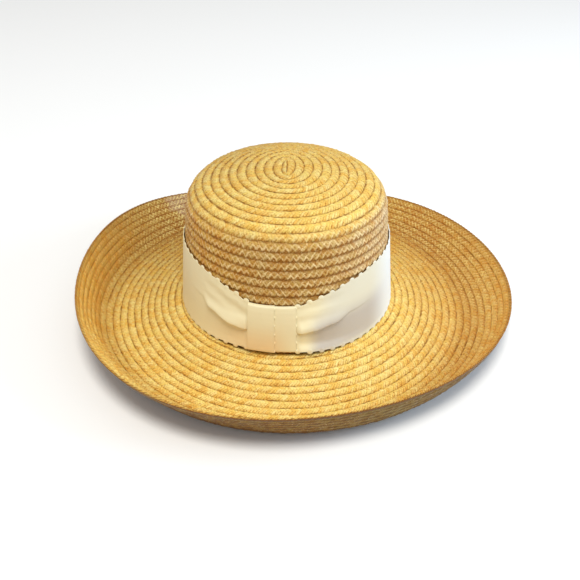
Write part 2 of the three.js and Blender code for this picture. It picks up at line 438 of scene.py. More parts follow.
# %% Turn the strip into a mesh
def strip_mesh(name, rows, strand, positions, up_way, out_way, reach):
    count, row_count = positions.shape[:2]
    index = np.arange(count * row_count).reshape(count, row_count)
    corner = index[:-1]
    beyond = index[1:]
    quads = np.stack([corner, np.roll(corner, -1, 1), np.roll(beyond, -1, 1), beyond], axis=-1)
    ends = [index[0][::-1].tolist(), index[-1].tolist()]
    mesh = bpy.data.meshes.new(name)
    mesh.from_pydata(positions.reshape(-1, 3), [], quads.reshape(-1, 4).tolist() + ends)
    steep = 1 - np.clip(up_way[..., 2], 0, 1)
    measures = {
        "strand": np.repeat(strand, row_count),
        "across": np.tile([row[0] for row in rows], count),
        "face": np.tile([row[1] for row in rows], count),
        "steep": steep.ravel(),
        "reach": reach.ravel(),
    }
    for label, values in measures.items():
        mesh.attributes.new(label, "FLOAT", "POINT").data.foreach_set("value", values)
    for label, values in (("up_way", up_way), ("out_way", out_way)):
        mesh.attributes.new(label, "FLOAT_VECTOR", "POINT").data.foreach_set("vector", values.ravel())
    piece = bpy.data.objects.new(name, mesh)
    bpy.context.scene.collection.objects.link(piece)
    print(f"{name}: {len(quads.reshape(-1, 4)) * 2} triangles")
    return piece


# %% Wind the crown and the brim
CROWN_COURSE = {
    "first": 4.75 * MM, "pitch": 7.2 * MM, "plait": 4.7 * MM,
    "start": -1.2 * MM, "end": CROWN_LENGTH - SEAM_GAP, "starts_at": 0.0, "on_brim": 0.0,
}
BRIM_COURSE = {
    "first": 4.8 * MM, "pitch": 6.0 * MM, "plait": 4.4 * MM,
    "start": -STRAW_WALL, "end": BRIM_LENGTH, "starts_at": -0.4 * MM, "on_brim": 1.0,
}


def turns_of(course):
    """The turns between the plait's start and the place where its last turn is used up."""
    return (
        (course["starts_at"] - course["first"]) / course["pitch"],
        (course["end"] - course["first"]) / course["pitch"] + 1,
    )


[straw_crown] = wind("crown", crown_point, CROWN_COURSE, turns_of(CROWN_COURSE), ["straw_crown"])
straw_brim, straw_rise = wind(
    "brim", brim_point, BRIM_COURSE, turns_of(BRIM_COURSE), ["straw_brim", "straw_rise"])

# %% [markdown]
# ## Relief of the plait
#
# In a plait each straw goes over its neighbour, bends at the edge and comes back, so the surface
# is a row of slanting steps and the edge is scalloped. Modelling every straw would take millions
# of faces. The steps repeat with a rule, so a Geometry Nodes tree lifts the strip's own points:
# it reads how far along and across the plait each point lies, and adds the height there.


# %% Parts of every Geometry Nodes tree
def new_tree(name, sizes):
    """A tree with named sizes and a material. Returns its bench, its inputs and its output socket."""
    tree = bpy.data.node_groups.new(name, "GeometryNodeTree")
    tree.interface.new_socket("Geometry", in_out="INPUT", socket_type="NodeSocketGeometry")
    for label in sizes:
        tree.interface.new_socket(label, in_out="INPUT", socket_type="NodeSocketFloat")
    tree.interface.new_socket("Material", in_out="INPUT", socket_type="NodeSocketMaterial")
    tree.interface.new_socket("Geometry", in_out="OUTPUT", socket_type="NodeSocketGeometry")
    bench = Bench(tree)
    group_in = bench.node("NodeGroupInput")
    group_out = bench.node("NodeGroupOutput")
    wires = {socket.name: Num(bench, socket) for socket in group_in.outputs if socket.name}
    return bench, wires, group_out.inputs[0]


def finish_tree(bench, geometry, material, target):
    """The last two nodes of every tree: real faces, and their material."""
    real = bench.out("GeometryNodeRealizeInstances", {}, {0: geometry})
    painted = bench.node("GeometryNodeSetMaterial", {}, {"Geometry": real, "Material": material})
    bench.tree.links.new(painted.outputs[0], target)


def named(bench, label, kind="FLOAT"):
    return bench.out("GeometryNodeInputNamedAttribute", {"data_type": kind}, {"Name": label})


def scaled(bench, vector, amount):
    return bench.out("ShaderNodeVectorMath", {"operation": "SCALE"}, {0: vector, "Scale": amount})


def added(bench, first, second):
    return bench.out("ShaderNodeVectorMath", {"operation": "ADD"}, {0: first, 1: second})


# %% Where the straws rise
OUTER_STRAWS = (0.48, 0.7, 0.86, 1.0)
INNER_STRAWS = (0.05, 0.25, 0.38, 0.58)
STEADY_RIM = (BRIM_LENGTH - 5 * MM, BRIM_LENGTH - 1 * MM)


def relief_tree():
    bench, wires, target = new_tree(
        "plait relief", ("Straw Height", "Edge Scallop", "Unevenness", "Wander"))
    strand, across, face = (named(bench, label) for label in ("strand", "across", "face"))
    over = strand.zigzag()
    outer_half = across.bump(*OUTER_STRAWS)
    inner_half = across.bump(*INNER_STRAWS)
    straws = outer_half * over + inner_half * (1 - over)
    sway = bench.noise(0.9, 1.0, w=strand) - 0.5
    patch = bench.noise(0.12, 1.0, w=strand) - 0.5
    inside_rim = 1 - named(bench, "reach").step(*STEADY_RIM)
    up = (straws - 0.5) * wires["Straw Height"] * face + sway * wires["Unevenness"]
    edge = across.step(0.8, 1.0)
    out = (over * wires["Edge Scallop"] + patch * inside_rim * wires["Wander"]) * edge
    move = added(
        bench, scaled(bench, named(bench, "up_way", "FLOAT_VECTOR"), up),
        scaled(bench, named(bench, "out_way", "FLOAT_VECTOR"), out))
    moved = bench.out("GeometryNodeSetPosition", {}, {"Geometry": wires["Geometry"], "Offset": move})
    finish_tree(bench, moved, wires["Material"], target)
    return bench.tree


# %% Run a tree on a piece
def run_tree(piece, tree, inputs):
    """Runs a tree on a piece once and keeps the result as the piece's plain mesh."""
    modifier = piece.modifiers.new(tree.name, "NODES")
    modifier.node_group = tree
    for item in tree.interface.items_tree:
        if item.item_type == "SOCKET" and item.in_out == "INPUT" and item.name in inputs:
            modifier[item.identifier] = inputs[item.name]
    bpy.context.view_layer.update()
    evaluated = piece.evaluated_get(bpy.context.evaluated_depsgraph_get())
    mesh = bpy.data.meshes.new_from_object(evaluated)
    piece.modifiers.remove(modifier)
    piece.data = mesh
    mesh.shade_smooth()
    print(f"{piece.name}: {len(mesh.vertices)} points")
    return piece

# %% [markdown]
# ## Straw
#
# Sun-bleached wheat straw is a pale, slightly glossy gold. Each straw keeps its own tint, from
# greenish cream to orange, so a plain yellow looks like plastic. Where a plait turns upright, as
# on the crown's wall and the rising brim, and behind the crown, painted shade deepens the gold to
# amber, and a few places carry painted light. Pale strokes and flecks are partly the plait's folded
# straws and partly painted highlights. The pattern is built on the plait's own measures: where
# along it and how far across.


# %% Helpers for materials
def new_material(name):
    material = bpy.data.materials.new(name)
    material.use_nodes = True
    material.node_tree.nodes.clear()
    bench = Bench(material.node_tree)
    surface = bench.node("ShaderNodeBsdfPrincipled")
    output = bench.node("ShaderNodeOutputMaterial")
    material.node_tree.links.new(surface.outputs[0], output.inputs["Surface"])
    return material, bench, surface


def feed(bench, surface, **values):
    for label, value in values.items():
        socket = surface.inputs[label.replace("_", " ")]
        if isinstance(value, Num):
            bench.tree.links.new(value.socket, socket)
        else:
            socket.default_value = value


def attribute(bench, label):
    return bench.out("ShaderNodeAttribute", {"attribute_name": label}, output=2)


def tinted(bench, share, base, tint):
    """The base colour, multiplied by a tint where the share is 1."""
    return bench.mix(share, base, bench.mix(1.0, base, tint, "MULTIPLY"))


def chance_of(bench, number):
    """A random share, always the same for the same number."""
    return bench.out("ShaderNodeTexWhiteNoise", {"noise_dimensions": "1D"}, {"W": number})


# %% What each point of the straw knows
STRAWS_PER_PLAIT = 2
STEEP_WALL = (0.12, 0.8)
BRIM_REACH = (0.0, 2 * MM)
BACK_START = -150 * MM
BACK_SPAN = 310 * MM
SPECKS_PER_METRE = 760.0
MEASURES = ("strand", "across", "face", "steep", "reach")


def straw_measures(bench):
    """The plait's measures at a point, its place, and the random numbers of its straw and tooth."""
    strand, across, face, steep, reach = (attribute(bench, label) for label in MEASURES)
    place_now = bench.out("ShaderNodeTexCoord", output=3)
    parts = bench.node("ShaderNodeSeparateXYZ", {}, {0: place_now})
    shown = (across - TUCKED_SHARE) / (1 - TUCKED_SHARE)
    lean = abs(across - CHEVRON_PEAK) * (CHEVRON_SLANT / CHEVRON_PEAK)
    along = strand + CHEVRON_SLANT - lean
    outer_half = shown.step(0.42, 0.5)
    straw_count = strand * STRAWS_PER_PLAIT
    straw_number = straw_count.floor() + outer_half.step(0.4, 0.6) * 0.5
    patches = bench.noise(0.32, 3.0, w=strand, roughness=0.6)
    depth = Num(bench, parts.outputs[1])
    return SimpleNamespace(
        strand=strand, face=face, under=1 - face, reach=reach, place=place_now,
        aside=Num(bench, parts.outputs[0]), shown=shown, along=along, outer_half=outer_half,
        behind=(depth - BACK_START + (patches - 0.5) * 0.05) / BACK_SPAN,
        wall=steep.step(*STEEP_WALL), on_brim=reach.step(*BRIM_REACH),
        tile=straw_count.fract(), patches=patches,
        chance=chance_of(bench, straw_number), second=chance_of(bench, straw_number + 0.25),
        tooth_chance=chance_of(bench, along.floor() + 0.37),
        leg_chance=chance_of(bench, (along * 2).floor() + 0.61),
        fibres=bench.noise(1.0, 3.0, vector=bench.join(along * 26, across * 7, face), roughness=0.7),
        specks=bench.noise(SPECKS_PER_METRE, 2.0, vector=place_now, roughness=0.75))


# %% The marks of the plaiting
TOOTH_TIP, TOOTH_DEPTH = 0.84, 0.42
TOOTH_STROKE = (-0.24, -0.06, 0.04, 0.18)
TOOTH_NOTCH = (0.05, 0.12)
INNER_TIP, INNER_DEPTH = 0.08, 0.30
INNER_STROKE = (-0.14, -0.03, 0.03, 0.14)
SEAM_EDGE = (-0.04, 0.06)
PLUMP_MIDDLE = (-0.05, 0.38, 0.70, 1.10)
TILE_GAP = (0.08, 0.36)
TILE_TOP = (0.45, 0.65)
PALE_SPECK = (0.60, 0.70)
DARK_SPECK = (0.32, 0.44)
RIM_LINE_REACH = (BRIM_LENGTH - 2.2 * MM, BRIM_LENGTH - 1.0 * MM)
UNDER_RIM_REACH = (BRIM_LENGTH - 4.0 * MM, BRIM_LENGTH - 1.5 * MM)


def straw_marks(bench, plait):
    """Where straws lie over one another like roof tiles and fold back in teeth at the outer edge, with
    masks for painted shade between them, in the valleys, under the teeth, at the seams and on the side
    walls.
    """
    tile_top = plait.tile.step(*TILE_TOP)
    zigzag = plait.along.zigzag()
    wobble = (bench.noise(2.7, 2.0, w=plait.along, roughness=0.7) - 0.5) * 0.34
    tooth_line = TOOTH_TIP - zigzag * TOOTH_DEPTH + (plait.tooth_chance - 0.5) * 0.12 + wobble
    inner_line = INNER_TIP + zigzag * INNER_DEPTH + wobble
    from_tooth = plait.shown - tooth_line
    seam_reach = 0.04 + bench.noise(1.3, 2.0, w=plait.strand) * 0.16
    seam_depth = bench.noise(0.6, 1.0, w=plait.strand + 7.3).step(0.3, 0.62)
    # Painted shade on the side wall of every course.
    painted_side_wall_shade = (plait.face * plait.under * 4).step(0.02, 0.35)
    rim_line = plait.reach.step(*RIM_LINE_REACH) * (1 - tile_top * 0.8)
    # The masks below mark painted shade between straws, in the valleys, under the teeth and at the seams.
    return SimpleNamespace(
        tile_edge=1 - plait.tile.step(*TILE_GAP), stroke=from_tooth.bump(*TOOTH_STROKE),
        painted_notch_shadow=from_tooth.step(*TOOTH_NOTCH), inner_stroke=(plait.shown - inner_line).bump(*INNER_STROKE),
        seam=(1 - (plait.shown - seam_reach).step(*SEAM_EDGE)) * (0.25 + seam_depth * 0.75),
        painted_valley_shade=1 - plait.shown.bump(*PLUMP_MIDDLE),
        rim=(painted_side_wall_shade * (0.95 - tile_top * 0.45)).at_least(rim_line * 0.9),
        under_rim=plait.reach.step(*UNDER_RIM_REACH) * plait.under,
        pale_speck=plait.specks.step(*PALE_SPECK), dark_speck=1 - plait.specks.step(*DARK_SPECK))


# %% Straws of several tints
PALE_STRAW = linear(248, 222, 135)
GOLD_STRAW = linear(241, 196, 93)
ORANGE_STRAW = linear(236, 184, 84)
GREEN_STRAW = linear(240, 213, 108)
GLOSSY_STRAW = linear(255, 240, 164)


def mixed_straws(bench, plait):
    """Straws of several tints side by side, in paler and deeper stretches of plait."""
    base = bench.mix(plait.patches.step(0.36, 0.64), GOLD_STRAW, PALE_STRAW)
    base = bench.mix(plait.chance.step(0.72, 0.8) * 0.5, base, ORANGE_STRAW)
    base = bench.mix((1 - plait.chance.step(0.2, 0.28)) * 0.5, base, GREEN_STRAW)
    return bench.mix(plait.second.step(0.80, 0.9) * 0.4, base, GLOSSY_STRAW)


# %% Painted shade and light on the straw
# Tints on upright parts: painted shade on the crown's wall, a painted cool light on its right, and painted
# light on the rising brim. The back and right tints below are painted shade too. The crease tint makes the
# brim's turn darker.
CROWN_FRONT_PAINTED_SHADE = (0.63, 0.54, 0.52)
CROWN_LEFT_PAINTED_SHADE = (0.80, 0.62, 0.32)
CROWN_RIGHT_PAINTED_COOL_LIGHT = (0.79, 0.75, 1.3)
LEFT_OF_CROWN = (-80 * MM, -20 * MM)
RIGHT_OF_CROWN = (10 * MM, 80 * MM)
BRIM_RISE_PAINTED_LIGHT = (1.2, 1.05, 0.78)
BRIM_RIGHT_PAINTED_SHADE = (0.90, 0.77, 0.70)
RIGHT_OF_BRIM = (60 * MM, 140 * MM)
BACK_PAINTED_SHADE = (0.62, 0.45, 0.22)
BACK_LEFT_PAINTED_SHADE = (0.36, 0.22, 0.06)
RIGHT_OF_BACK = (-80 * MM, 60 * MM)
AMBER_CREASE = (0.84, 0.76, 0.66)
CREASE_REACH = (56 * MM, 66 * MM, 76 * MM, 92 * MM)
GREY_PATCH = linear(186, 158, 132)
GREY_PATCH_PLACE = (-114 * MM, 146 * MM, 16 * MM)
GREY_PATCH_RADIUS = 22 * MM


def painted_shade_and_light(bench, plait, marks, base):
    """Painted shade on upright parts, behind the crown and on the brim's right, painted light on the rising
    brim and the crown's right, a darker brim turn, and a grey patch.
    """
    # Painted shade and light on upright parts, chosen by side.
    upright = bench.mix(1 - plait.aside.step(*LEFT_OF_CROWN), CROWN_FRONT_PAINTED_SHADE, CROWN_LEFT_PAINTED_SHADE)
    upright = bench.mix(plait.aside.step(*RIGHT_OF_CROWN), upright, CROWN_RIGHT_PAINTED_COOL_LIGHT)
    upright = bench.mix(plait.on_brim, upright, BRIM_RISE_PAINTED_LIGHT)
    # Painted shade behind the crown, deepest on the left.
    painted_back_shade = bench.mix(plait.aside.step(*RIGHT_OF_BACK), BACK_LEFT_PAINTED_SHADE, BACK_PAINTED_SHADE)
    base = tinted(bench, plait.behind.step(0.25, 1.05), base, painted_back_shade)
    base = tinted(bench, plait.wall, base, upright)
    base = tinted(bench, plait.reach.bump(*CREASE_REACH), base, AMBER_CREASE)
    # Painted shade on the brim's right.
    base = tinted(bench, plait.on_brim * plait.aside.step(*RIGHT_OF_BRIM), base, BRIM_RIGHT_PAINTED_SHADE)
    away = bench.out(
        "ShaderNodeVectorMath", {"operation": "DISTANCE"}, {0: plait.place, 1: GREY_PATCH_PLACE}, output=1)
    away = away + (plait.patches - 0.5) * 0.02
    faded = 1 - away.step(GREY_PATCH_RADIUS * 0.5, GREY_PATCH_RADIUS)
    return bench.mix(faded * (0.55 + marks.pale_speck * 0.4), base, GREY_PATCH)


# %% Painted shadows, strokes with painted highlights, and seams
# A painted shade colour, pale colours for both straw flecks and painted highlights, and a painted shadow
# colour for the seams.
PAINTED_STRAW_SHADE = (0.50, 0.32, 0.14)
FLAT_FLECK_AND_HIGHLIGHT = linear(255, 234, 150)
CROWN_WALL_FLECK_AND_HIGHLIGHT = linear(246, 220, 164)
BRIM_RISE_FLECK_AND_HIGHLIGHT = linear(228, 184, 104)
SEAM_SHADE = linear(134, 80, 16)
RISE_REACH = (62 * MM, 75 * MM)


def plaited(bench, plait, marks, base):
    """Painted shadow between the straws, in the valleys, on the crown's wall and under the teeth; pale
    strokes where straws fold back, partly painted highlights; painted shadow at the seam.
    """
    # Painted shade, with the straw's own dark specks and fibres mixed in.
    shade = marks.tile_edge * (0.32 + plait.outer_half * 0.38) * (0.65 + plait.chance * 0.35)
    shade = shade + marks.painted_valley_shade * (0.25 - plait.wall * 0.1)
    shade = shade + marks.dark_speck * 0.85 + (plait.fibres - 0.5) * 1.2
    shade = shade + (1 - marks.stroke) * plait.wall * (1 - plait.on_brim) * 0.32
    shade = shade + marks.painted_notch_shadow * (0.20 + plait.wall * 0.10)
    base = tinted(bench, shade.at_least(0.0).at_most(1.0), base, PAINTED_STRAW_SHADE)

    # Pale strokes: the plait's folded straws, brightened as painted highlights, strongest on upright parts.
    strokes = marks.stroke * (0.1 + plait.leg_chance * 0.9)
    strokes = strokes + marks.inner_stroke * (1 - plait.leg_chance) * 0.7
    strokes = strokes * (0.55 + plait.patches.step(0.3, 0.7) * 0.6)
    on_rise = plait.reach.step(*RISE_REACH) * (0.25 + plait.behind.step(0.2, 0.8) * 0.35)
    strength = (0.16 + plait.wall * 0.56).at_least(on_rise)
    fleck_and_highlight = bench.mix(plait.on_brim, CROWN_WALL_FLECK_AND_HIGHLIGHT, BRIM_RISE_FLECK_AND_HIGHLIGHT)
    fleck_and_highlight = bench.mix((plait.wall * 1.6).at_most(1.0), FLAT_FLECK_AND_HIGHLIGHT, fleck_and_highlight)
    base = bench.mix((strokes * plait.face * strength).at_most(1.0), base, fleck_and_highlight)
    base = bench.mix(marks.pale_speck * 0.75, base, fleck_and_highlight)
    # Painted shadow where each course meets the next.
    return bench.mix(marks.seam * (0.85 - plait.wall * 0.3), base, SEAM_SHADE)


# %% The lower side and the rim, with painted shade
# The lower side's tints are partly its own rawer straw and partly painted shade, greyer on the right.
UNDER_SIDE_AND_SHADE_TINT = (0.34, 0.29, 0.21)
UNDER_RIGHT_SIDE_AND_SHADE_TINT = (0.29, 0.31, 0.36)
RIGHT_OF_UNDERSIDE = (0.0, 70 * MM)
UNDER_FLECK = linear(206, 178, 136)
UNDER_RIM_SHADE = linear(92, 62, 26)


def lower_side(bench, plait, marks, base):
    """The lower side, darker partly for its rawer straw and partly as painted shade, painted shadow between
    its straws, painted shade on the side walls, and a dark line round the rim.
    """
    under_side_and_shade_tint = bench.mix(plait.aside.step(*RIGHT_OF_UNDERSIDE), UNDER_SIDE_AND_SHADE_TINT, UNDER_RIGHT_SIDE_AND_SHADE_TINT)
    base = tinted(bench, plait.under, base, under_side_and_shade_tint)
    # Painted shadow between the straws, with the straw's own dark specks.
    gaps = (marks.tile_edge * 0.45 + marks.dark_speck * 0.4).at_most(1.0)
    base = bench.mix(plait.under * gaps, base, SEAM_SHADE)
    base = bench.mix(plait.under * marks.pale_speck * 0.7, base, UNDER_FLECK)
    # Painted shade on the lower side just inside the rim.
    base = bench.mix(marks.under_rim * 0.75, base, UNDER_RIM_SHADE)
    # Painted shade on the courses' side walls, and a dark line round the rim.
    return bench.mix(marks.rim, base, SEAM_SHADE)


# %% A material for straw
STRAW_BUMP = 0.45 * MM


def straw_material():
    material, bench, surface = new_material("wheat straw plait")
    plait = straw_measures(bench)
    marks = straw_marks(bench, plait)
    base = painted_shade_and_light(bench, plait, marks, mixed_straws(bench, plait))
    base = lower_side(bench, plait, marks, plaited(bench, plait, marks, base))
    height = plait.tile * 0.5 + marks.stroke * 0.4 + plait.fibres * 0.5 + plait.specks * 0.5
    bump = bench.out("ShaderNodeBump", {}, {"Strength": 0.9, "Distance": STRAW_BUMP, "Height": height})
    roughness = 0.60 - marks.stroke * 0.15 - plait.second * 0.12
    feed(bench, surface, Base_Color=base, Roughness=roughness, Normal=bump, Specular_IOR_Level=0.2)
    return material


# %% Raise the straws and cover the plait
STRAW = straw_material()
print(f"straw: {len(STRAW.node_tree.nodes)} nodes")
RELIEF = relief_tree()
RELIEF_SIZES = {
    "Straw Height": 0.45 * MM, "Edge Scallop": 0.4 * MM, "Unevenness": 0.7 * MM,
    "Wander": 2.0 * MM, "Material": STRAW,
}
STRAW_CREASE = math.radians(60)

for straw_piece in (straw_crown, straw_brim, straw_rise):
    run_tree(straw_piece, RELIEF, RELIEF_SIZES)
    for spent in ("up_way", "out_way"):
        straw_piece.data.attributes.remove(straw_piece.data.attributes[spent])
    straw_piece.data.set_sharp_from_angle(angle=STRAW_CREASE)
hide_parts("crown")
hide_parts("brim")
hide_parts("brim")

# %% [markdown]
# ## The ribbon round the crown
#
# A ribbon 57 mm wide lies flat round the back and sides. Towards the knot it is gathered to two
# thirds of that, and the spare width folds over itself in one lip, with a small flare along the
# bottom edge. A cloth simulation could find such folds, but the picture shows where these ones
# run. So the ribbon is a grid of rows and stations, and a short table says how high the bottom,
# the lip and the top run at each angle from the knot.

# %% Ribbon sizes
RIBBON_LIFT = LAP_STEP + 0.5 * MM
RIBBON_FACE = 1.0 * MM
RIBBON_CLOTH = 0.6 * MM
KNOT_ANGLE = math.radians(-97)
RIBBON_STATIONS = 720
BAND_COLUMNS = ("turn", "bottom", "fold", "top", "standoff", "lip", "flare", "belly", "fade")
BAND_TABLE = np.array([
    (-180, 1.5, 30.0, 57.0, 0.0, 0.0, 0.0, 0.0, 8.0),
    (-58, 1.5, 33.0, 57.0, 0.0, 0.0, 0.0, 0.0, 8.0),
    (-42, 1.5, 32.0, 55.5, 0.0, 0.2, 0.1, 0.0, 8.0),
    (-34, 2.0, 27.5, 53.5, 0.0, 2.6, 0.3, 0.0, 8.0),
    (-20, 3.2, 22.4, 48.0, 0.4, 3.6, 0.4, 0.0, 10.0),
    (-14, 4.0, 21.2, 44.2, 0.9, 2.6, 0.4, 0.0, 12.0),
    (-11, 4.4, 20.8, 42.6, 1.1, 0.4, 0.0, 0.0, 12.0),
    (11, 4.4, 20.6, 41.5, 1.1, 0.4, 0.0, 0.0, 16.0),
    (14, 4.0, 20.9, 42.6, 0.9, 3.0, 2.0, 0.35, 13.0),
    (20, 3.4, 22.0, 45.0, 0.4, 3.8, 2.6, 0.4, 14.0),
    (30, 2.4, 24.2, 48.8, 0.0, 2.8, 2.0, 0.4, 14.0),
    (42, 1.6, 28.3, 53.5, 0.0, 0.4, 0.9, 0.3, 14.0),
    (60, 1.5, 30.0, 56.5, 0.0, 0.0, 0.0, 0.0, 16.0),
    (180, 1.5, 30.0, 57.0, 0.0, 0.0, 0.0, 0.0, 8.0),
])
LIP_DROP = 1.5 * MM
LIP_GAP = 0.2 * MM
FULL_LIP = 3 * MM
LIP_ROWS = ((0.8, 0.25), (1.0, 0.55), (0.85, 0.82), (0.4, 0.97))
GATHER_SHARE = 0.14
GATHER_WAVES = 1.8
FLARE_FADE = 7 * MM
LOWER_ROWS, UPPER_ROWS = 16, 20
CLOTH_CREASE = math.radians(50)


def band_at(turn_degrees):
    """The ribbon's heights and depths at angles from the knot, in metres."""
    turns = BAND_TABLE[:, 0]
    after = np.clip(np.searchsorted(turns, turn_degrees), 1, len(turns) - 1)
    share = smoothstep(turn_degrees, turns[after - 1], turns[after])
    return {
        name: (BAND_TABLE[after - 1, column] * (1 - share) + BAND_TABLE[after, column] * share) * MM
        for column, name in enumerate(BAND_COLUMNS[1:], start=1)
    }


def band_rows(band, turn_degrees):
    """(height, depth) of each row, from the bottom edge up to the lip, over it, and to the top."""
    bottom, fold, top, lip, belly = (band[key] for key in ("bottom", "fold", "top", "lip", "belly"))
    belly = belly / MM
    rows = []
    for share in np.linspace(0, 1, LOWER_ROWS):
        height = bottom + (fold - LIP_GAP - bottom) * share
        flare = band["flare"] * (1 - smoothstep(height - bottom, 0, FLARE_FADE))
        rows.append((height, flare + belly * lip * smoothstep(share, 0.3, 1.15)))
    drop = LIP_DROP * np.clip(lip / FULL_LIP, 0, 1) * (1 - 0.6 * belly)
    start = rows[-1][1]
    for down, deep in LIP_ROWS:
        rows.append((fold - drop * down + LIP_GAP / 2, start + (lip - start) * deep))
    for share in np.linspace(0, 1, UPPER_ROWS):
        height = fold + LIP_GAP + (top - fold - LIP_GAP) * share
        fade = 1 - smoothstep(height - fold, 0, band["fade"])
        gather = GATHER_SHARE * lip * np.sin(2 * np.pi * (GATHER_WAVES * share + turn_degrees / 90))
        rows.append((height, lip * fade + gather * np.sin(np.pi * share)))
    return rows


# %% Close the cloth into a mesh
def closed_grid(name, grids):
    """A mesh of closed bands. In each grid the rings follow one another and the last joins the first."""
    points, faces, used = [], [], 0
    for rings in grids:
        ring_count, ring_points = rings.shape[:2]
        index = used + np.arange(ring_count * ring_points).reshape(ring_count, ring_points)
        beyond = np.roll(index, -1, 0)
        quads = np.stack([index, np.roll(index, -1, 1), np.roll(beyond, -1, 1), beyond], axis=-1)
        points.append(rings.reshape(-1, 3))
        faces += quads.reshape(-1, 4).tolist()
        used += ring_count * ring_points
    mesh = bpy.data.meshes.new(name)
    mesh.from_pydata(np.concatenate(points), [], faces)
    mesh.shade_smooth()
    mesh.set_sharp_from_angle(angle=CLOTH_CREASE)
    piece = bpy.data.objects.new(name, mesh)
    bpy.context.scene.collection.objects.link(piece)
    print(f"{name}: {len(faces) * 2} triangles")
    return piece


# %% Gather the ribbon
band_turns = np.arange(RIBBON_STATIONS) * 360 / RIBBON_STATIONS - 180
band_phi = KNOT_ANGLE + np.radians(band_turns)
band_shape = band_at(band_turns)
band_profile = band_rows(band_shape, band_turns)
band_face = RIBBON_LIFT + band_shape["standoff"] + RIBBON_FACE
outside = [beside_crown(band_phi, height, band_face + depth) for height, depth in band_profile]
inside = [
    beside_crown(band_phi, height, band_face + depth - RIBBON_CLOTH)
    for height, depth in band_profile[::-1]]
ribbon_band = closed_grid("ribbon_band", [np.stack(outside + inside)])

# %% [markdown]
# ## The knot
#
# The ribbon's end is folded lengthwise and wrapped once over the gathered place, so two layers
# show: a wide one in front, folded at its left side, and a narrow strip of the one behind it. Each
# is a flat sleeve with rounded folds at top and bottom, drawn as a loop at every station along it.

# %% Knot sizes
KNOT_HALF_WIDTH = 17.7 * MM
FRONT_LAYER_WIDTH = 19.6 * MM
KNOT_LOW, KNOT_HIGH = 3.4 * MM, 42.6 * MM
KNOT_BACK_LIFT = RIBBON_LIFT - 0.2 * MM
BACK_LAYER_FACE = RIBBON_LIFT + 1.1 * MM + 2.3 * MM
FRONT_LAYER_FACE = BACK_LAYER_FACE + 1.0 * MM
KNOT_BOW = 0.25 * MM
KNOT_PINCH = 0.3 * MM
LOOP_POINTS = 48
LOOP_SQUARENESS = 0.22
KNOT_STATIONS = 36
LENGTH_PER_RADIAN = math.hypot(
    HEAD_HALF_WIDTH * math.sin(KNOT_ANGLE), HEAD_HALF_DEPTH * math.cos(KNOT_ANGLE))


def sleeve_loop(inset, face, low, high, bow):
    """A section of the sleeve: height and lift round a flat loop with rounded folds."""
    around = np.linspace(0, 2 * np.pi, LOOP_POINTS, endpoint=False)
    tall = (high - low) / 2 - inset
    deep = (face - KNOT_BACK_LIFT) / 2 - inset
    up = np.sign(np.cos(around)) * np.abs(np.cos(around)) ** LOOP_SQUARENESS
    out = np.sign(np.sin(around)) * np.abs(np.sin(around)) ** LOOP_SQUARENESS
    bulge = bow * np.maximum(np.sin(around), 0) * np.cos(up * np.pi / 2)
    return (low + high) / 2 + tall * up, (face + KNOT_BACK_LIFT) / 2 + deep * out + bulge


def knot_layer(left, right, face, low, high):
    """A sleeve of cloth between two places along the ribbon: rings outside, then rings inside."""
    ease = (1 - np.cos(np.linspace(0, np.pi, KNOT_STATIONS))) / 2
    ways = [(share, 0.0) for share in ease] + [(share, RIBBON_CLOTH) for share in ease[::-1]]
    rings = []
    for share, inset in ways:
        along = left + (right - left) * share
        pinch = KNOT_PINCH * (1 - (2 * share - 1) ** 2)
        height, lift = sleeve_loop(inset, face, low + pinch, high - pinch, KNOT_BOW)
        rings.append(beside_crown(KNOT_ANGLE + along / LENGTH_PER_RADIAN, height, lift))
    return np.stack(rings)


FRONT_LAYER_EDGE = -KNOT_HALF_WIDTH + FRONT_LAYER_WIDTH
BACK_LAYER_INSET = 0.4 * MM
ribbon_knot = closed_grid("ribbon_knot", [
    knot_layer(
        -KNOT_HALF_WIDTH + 2 * BACK_LAYER_INSET, KNOT_HALF_WIDTH, BACK_LAYER_FACE,
        KNOT_LOW + BACK_LAYER_INSET, KNOT_HIGH - BACK_LAYER_INSET),
    knot_layer(-KNOT_HALF_WIDTH, FRONT_LAYER_EDGE, FRONT_LAYER_FACE, KNOT_LOW, KNOT_HIGH),
])

# %% [markdown]
# ## Picots
#
# A ribbon of this kind is woven with picots: small tabs of weft that stand out of both edges,
# about a centimetre apart here. They are one flat pad, repeated along a path, which is what
# Geometry Nodes do best. The path carries two directions, out of the edge and out of the cloth,
# and every pad is turned to them.

# %% A tree that sets picots along an edge
def picot_tree():
    bench, wires, target = new_tree(
        "picots along an edge", ("Spacing", "Picot Width", "Picot Depth", "Picot Thickness"))
    path = bench.out("GeometryNodeMeshToCurve", {}, {"Mesh": wires["Geometry"]})
    spaced = bench.out(
        "GeometryNodeResampleCurve", {"mode": "LENGTH"}, {"Curve": path, "Length": wires["Spacing"]})
    points = bench.out("GeometryNodeCurveToPoints", {"mode": "EVALUATED"}, {"Curve": spaced})
    turn = bench.out(
        "FunctionNodeAxesToRotation", {"primary_axis": "Z", "secondary_axis": "Y"},
        {"Primary Axis": named(bench, "cloth_way", "FLOAT_VECTOR"),
         "Secondary Axis": named(bench, "edge_way", "FLOAT_VECTOR")})
    pad = bench.out("GeometryNodeMeshUVSphere", {}, {"Segments": 14, "Rings": 8, "Radius": 1.0})
    size = bench.join(wires["Picot Width"] / 2, wires["Picot Depth"], wires["Picot Thickness"] / 2)
    picot = bench.out("GeometryNodeTransform", {}, {"Geometry": pad, "Scale": size})
    placed = bench.out(
        "GeometryNodeInstanceOnPoints", {}, {"Points": points, "Instance": picot, "Rotation": turn})
    finish_tree(bench, placed, wires["Material"], target)
    return bench.tree


